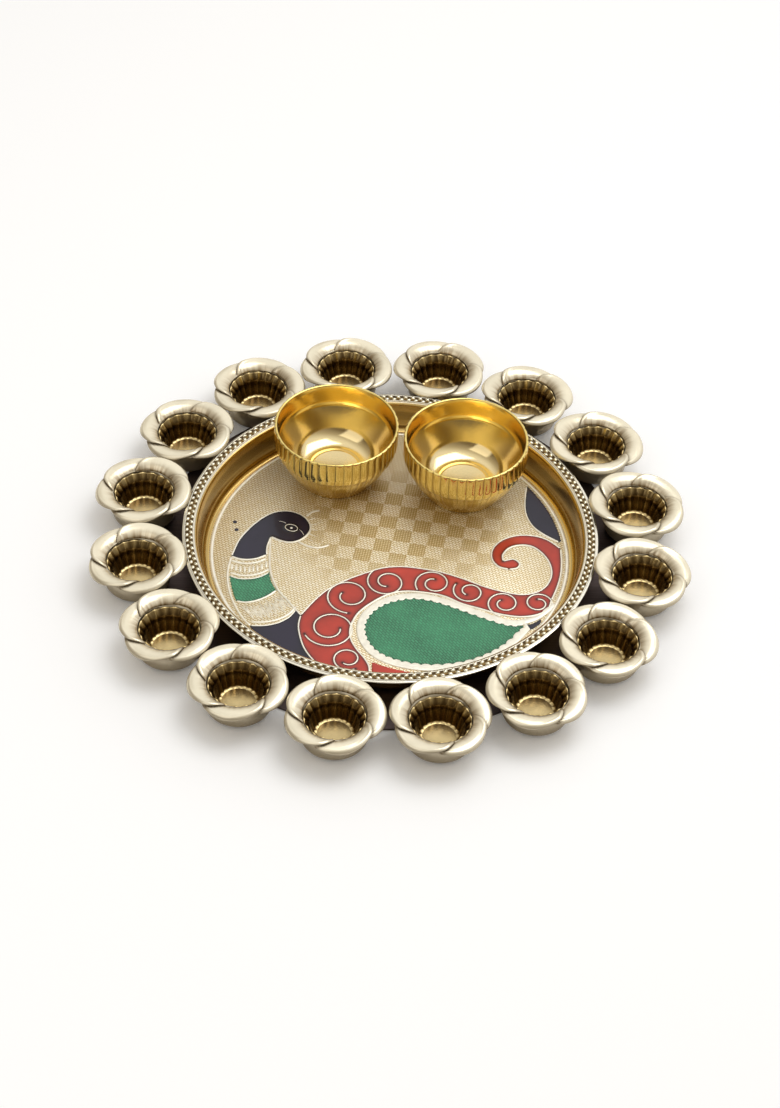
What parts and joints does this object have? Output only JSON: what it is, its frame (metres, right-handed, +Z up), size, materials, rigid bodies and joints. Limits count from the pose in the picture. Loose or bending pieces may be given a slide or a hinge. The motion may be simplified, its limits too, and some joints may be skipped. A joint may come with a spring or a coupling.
{
  "type": "puja thali",
  "caption": "Round metal puja thali: enamelled peacock floor, braided border, ring of rose-shaped cups with fluted liners, and loose ribbed bowls that lift off.",
  "frame": {"origin": "middle of the underside of the base plate, on the surface the thali stands on", "axes": "+Z up out of the tray, +Y towards the two loose bowls at the back, +X to the right of the peacock's breast, towards the tail's curl"},
  "size_m": [0.2474, 0.2474, 0.0299],
  "materials": {
    "base_steel": "brushed, lilac-grey, dark between the cups",
    "tray_brass": "bright, antique brown-gold lacquer on the wall",
    "border_gold": "pale gold plate, satin, dark in the grooves",
    "sheet_gold": "pale gold, woven texture with darker gold squares, cream wires",
    "enamel_red": "translucent red enamel, gloss",
    "enamel_green": "translucent green enamel over a woven ground, gloss",
    "enamel_navy": "navy to black enamel, gloss",
    "rivet_steel": "plain",
    "bowl_brass": "polished yellow brass, ribbed outside",
    "petal_gold": "pale champagne gold plate, polished",
    "liner_brass": "polished, dark brown gold, fluted"
  },
  "bodies": {
    "thali": {"base_plate": "base_steel", "thali_pan": "tray_brass", "rope_border": "border_gold", "design_sheet": "sheet_gold", "enamel_red": "enamel_red", "enamel_green": "enamel_green", "enamel_navy": "enamel_navy", "cup_rivets": "rivet_steel", "flower_cup_01": "petal_gold", "flower_cup_02": "petal_gold", "flower_cup_03": "petal_gold", "flower_cup_04": "petal_gold", "flower_cup_05": "petal_gold", "flower_cup_06": "petal_gold", "flower_cup_07": "petal_gold", "flower_cup_08": "petal_gold", "flower_cup_09": "petal_gold", "flower_cup_10": "petal_gold", "flower_cup_11": "petal_gold", "flower_cup_12": "petal_gold", "flower_cup_13": "petal_gold", "flower_cup_14": "petal_gold", "flower_cup_15": "petal_gold", "flower_cup_16": "petal_gold", "cup_liner_01": "liner_brass", "cup_liner_02": "liner_brass", "cup_liner_03": "liner_brass", "cup_liner_04": "liner_brass", "cup_liner_05": "liner_brass", "cup_liner_06": "liner_brass", "cup_liner_07": "liner_brass", "cup_liner_08": "liner_brass", "cup_liner_09": "liner_brass", "cup_liner_10": "liner_brass", "cup_liner_11": "liner_brass", "cup_liner_12": "liner_brass", "cup_liner_13": "liner_brass", "cup_liner_14": "liner_brass", "cup_liner_15": "liner_brass", "cup_liner_16": "liner_brass"},
    "left_bowl": {"bowl_left": "bowl_brass"},
    "right_bowl": {"bowl_right": "bowl_brass"}
  },
  "joints": [
    {"name": "bowl_left_lift", "type": "slide", "parent": "thali", "child": "left_bowl", "axis": [0, 0, 1], "range_m": [0, 0.045]},
    {"name": "bowl_right_lift", "type": "slide", "parent": "thali", "child": "right_bowl", "axis": [0, 0, 1], "range_m": [0, 0.045]}
  ]
}
